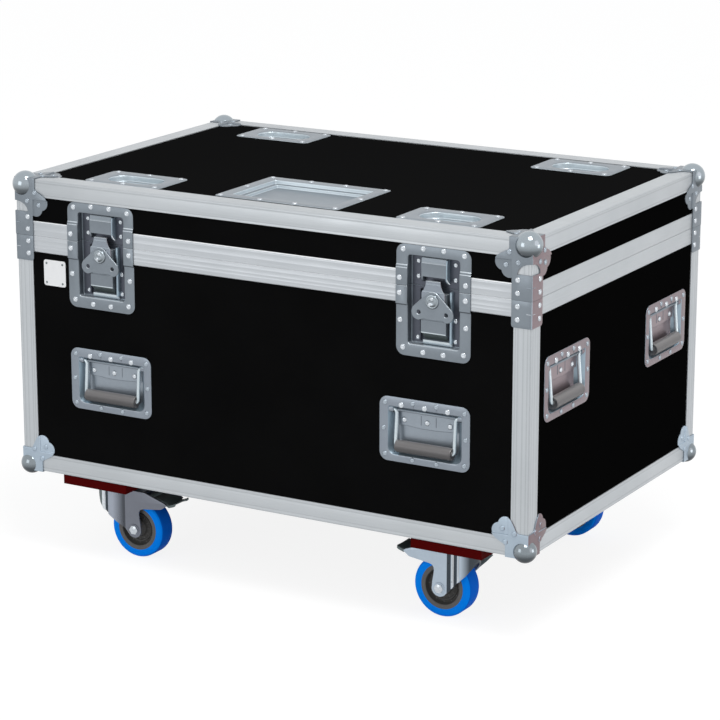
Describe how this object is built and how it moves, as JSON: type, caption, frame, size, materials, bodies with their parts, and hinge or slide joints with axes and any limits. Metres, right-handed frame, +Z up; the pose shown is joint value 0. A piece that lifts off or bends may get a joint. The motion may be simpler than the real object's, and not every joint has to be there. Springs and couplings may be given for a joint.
{
  "type": "lighting flight case",
  "caption": "Wheeled road case with a hinged lid, butterfly latches, ball corners, recessed bail handles, stacking dishes and braked swivel castors.",
  "frame": {"origin": "on the floor under the centre of the case, at the bottom centre of the bounding box", "axes": "+X to the right seen from the front, along the case's length, +Y to the back (the hinge side), +Z up"},
  "size_m": [0.9592, 0.6412, 0.6499],
  "materials": {
    "laminate": "black phenolic-faced plywood, satin",
    "aluminium": "anodised extrusion with fine lengthwise grooves",
    "zinc": "bright zinc plate on pressed steel, balls polished",
    "bail": "zinc-plated wire with a dark rubber grip",
    "pedal": "dark coated steel",
    "plywood": "red-brown film-faced plywood",
    "tyre": "blue elastic rubber on a dark grey hub"
  },
  "bodies": {
    "case": {"front_panel": "laminate", "back_panel": "laminate", "left_panel": "laminate", "right_panel": "laminate", "floor_panel": "laminate", "body_edge_frame": "aluminium", "hinge_leaf_body": "aluminium", "base_corner_front_left": "zinc", "castor_plate_front_left": "zinc", "base_corner_front_right": "zinc", "castor_plate_front_right": "zinc", "base_corner_rear_left": "zinc", "castor_plate_rear_left": "zinc", "base_corner_rear_right": "zinc", "castor_plate_rear_right": "zinc", "latch_dish_left": "zinc", "castor_board_left": "plywood", "latch_dish_right": "zinc", "castor_board_right": "plywood", "handle_dish_front_left": "zinc", "handle_dish_front_right": "zinc", "handle_dish_left_front": "zinc", "handle_dish_left_rear": "zinc", "handle_dish_right_front": "zinc", "handle_dish_right_rear": "zinc"},
    "lid": {"lid_top_panel": "laminate", "lid_wall": "laminate", "lid_edge_frame": "aluminium", "hinge_leaf_lid": "aluminium", "label_dish": "zinc", "lid_corner_front_left": "zinc", "lid_corner_front_right": "zinc", "lid_corner_rear_left": "zinc", "lid_corner_rear_right": "zinc", "stacking_dish_front_left": "zinc", "stacking_dish_front_right": "zinc", "stacking_dish_rear_left": "zinc", "stacking_dish_rear_right": "zinc", "latch_keeper_dish_left": "zinc", "latch_keeper_dish_right": "zinc"},
    "wing_left": {"latch_wing_left": "zinc"},
    "hook_left": {"latch_hook_left": "zinc"},
    "wing_right": {"latch_wing_right": "zinc"},
    "hook_right": {"latch_hook_right": "zinc"},
    "bail_front_left": {"handle_bail_front_left": "bail"},
    "bail_front_right": {"handle_bail_front_right": "bail"},
    "bail_left_front": {"handle_bail_left_front": "bail"},
    "bail_left_rear": {"handle_bail_left_rear": "bail"},
    "bail_right_front": {"handle_bail_right_front": "bail"},
    "bail_right_rear": {"handle_bail_right_rear": "bail"},
    "fork_front_left": {"castor_fork_front_left": "zinc"},
    "wheel_front_left": {"castor_wheel_front_left": "tyre"},
    "pedal_left": {"brake_pedal_left": "pedal"},
    "fork_front_right": {"castor_fork_front_right": "zinc"},
    "wheel_front_right": {"castor_wheel_front_right": "tyre"},
    "pedal_right": {"brake_pedal_right": "pedal"},
    "fork_rear_left": {"castor_fork_rear_left": "zinc"},
    "wheel_rear_left": {"castor_wheel_rear_left": "tyre"},
    "fork_rear_right": {"castor_fork_rear_right": "zinc"},
    "wheel_rear_right": {"castor_wheel_rear_right": "tyre"}
  },
  "joints": [
    {"name": "lid_hinge", "type": "hinge", "parent": "case", "child": "lid", "pos_m": [0, 0.3149, 0.5463], "axis": [-1, 0, 0], "range_deg": [0, 100]},
    {"name": "latch_twist_left", "type": "hinge", "parent": "case", "child": "wing_left", "pos_m": [-0.3045, -0.3089, 0.5268], "axis": [0, -1, 0], "range_deg": [0, 180]},
    {"name": "latch_slide_left", "type": "slide", "parent": "case", "child": "hook_left", "axis": [0, 0, 1], "range_m": [0, 0.0055]},
    {"name": "latch_twist_right", "type": "hinge", "parent": "case", "child": "wing_right", "pos_m": [0.3045, -0.3089, 0.5268], "axis": [0, -1, 0], "range_deg": [0, 180]},
    {"name": "latch_slide_right", "type": "slide", "parent": "case", "child": "hook_right", "axis": [0, 0, 1], "range_m": [0, 0.0055]},
    {"name": "handle_swing_front_left", "type": "hinge", "parent": "case", "child": "bail_front_left", "pos_m": [-0.2903, -0.3037, 0.347], "axis": [-1, 0, 0], "range_deg": [0, 90]},
    {"name": "handle_swing_front_right", "type": "hinge", "parent": "case", "child": "bail_front_right", "pos_m": [0.2903, -0.3037, 0.347], "axis": [-1, 0, 0], "range_deg": [0, 90]},
    {"name": "handle_swing_left_front", "type": "hinge", "parent": "case", "child": "bail_left_front", "pos_m": [-0.4627, -0.1835, 0.4276], "axis": [0, 1, 0], "range_deg": [0, 90]},
    {"name": "handle_swing_left_rear", "type": "hinge", "parent": "case", "child": "bail_left_rear", "pos_m": [-0.4627, 0.1835, 0.4276], "axis": [0, 1, 0], "range_deg": [0, 90]},
    {"name": "handle_swing_right_front", "type": "hinge", "parent": "case", "child": "bail_right_front", "pos_m": [0.4627, -0.1835, 0.4276], "axis": [0, -1, 0], "range_deg": [0, 90]},
    {"name": "handle_swing_right_rear", "type": "hinge", "parent": "case", "child": "bail_right_rear", "pos_m": [0.4627, 0.1835, 0.4276], "axis": [0, -1, 0], "range_deg": [0, 90]},
    {"name": "swivel_front_left", "type": "hinge", "parent": "case", "child": "fork_front_left", "pos_m": [-0.329, -0.23, 0.1181], "axis": [0, 0, 1], "continuous": true},
    {"name": "wheel_spin_front_left", "type": "hinge", "parent": "fork_front_left", "child": "wheel_front_left", "pos_m": [-0.289, -0.23, 0.05], "axis": [0, 1, 0], "continuous": true},
    {"name": "brake_press_left", "type": "hinge", "parent": "fork_front_left", "child": "pedal_left", "pos_m": [-0.258, -0.23, 0.1095], "axis": [0, 1, 0], "range_deg": [0, 10]},
    {"name": "swivel_front_right", "type": "hinge", "parent": "case", "child": "fork_front_right", "pos_m": [0.329, -0.23, 0.1181], "axis": [0, 0, 1], "continuous": true},
    {"name": "wheel_spin_front_right", "type": "hinge", "parent": "fork_front_right", "child": "wheel_front_right", "pos_m": [0.289, -0.23, 0.05], "axis": [0, 1, 0], "continuous": true},
    {"name": "brake_press_right", "type": "hinge", "parent": "fork_front_right", "child": "pedal_right", "pos_m": [0.258, -0.23, 0.1095], "axis": [0, -1, 0], "range_deg": [0, 10]},
    {"name": "swivel_rear_left", "type": "hinge", "parent": "case", "child": "fork_rear_left", "pos_m": [-0.329, 0.23, 0.1181], "axis": [0, 0, 1], "continuous": true},
    {"name": "wheel_spin_rear_left", "type": "hinge", "parent": "fork_rear_left", "child": "wheel_rear_left", "pos_m": [-0.289, 0.23, 0.05], "axis": [0, 1, 0], "continuous": true},
    {"name": "swivel_rear_right", "type": "hinge", "parent": "case", "child": "fork_rear_right", "pos_m": [0.329, 0.23, 0.1181], "axis": [0, 0, 1], "continuous": true},
    {"name": "wheel_spin_rear_right", "type": "hinge", "parent": "fork_rear_right", "child": "wheel_rear_right", "pos_m": [0.289, 0.23, 0.05], "axis": [0, 1, 0], "continuous": true}
  ],
  "couplings": [
    {"joint": "latch_slide_left", "follows": "latch_twist_left", "m_per_rad": 0.0017475},
    {"joint": "latch_slide_right", "follows": "latch_twist_right", "m_per_rad": 0.0017475}
  ]
}
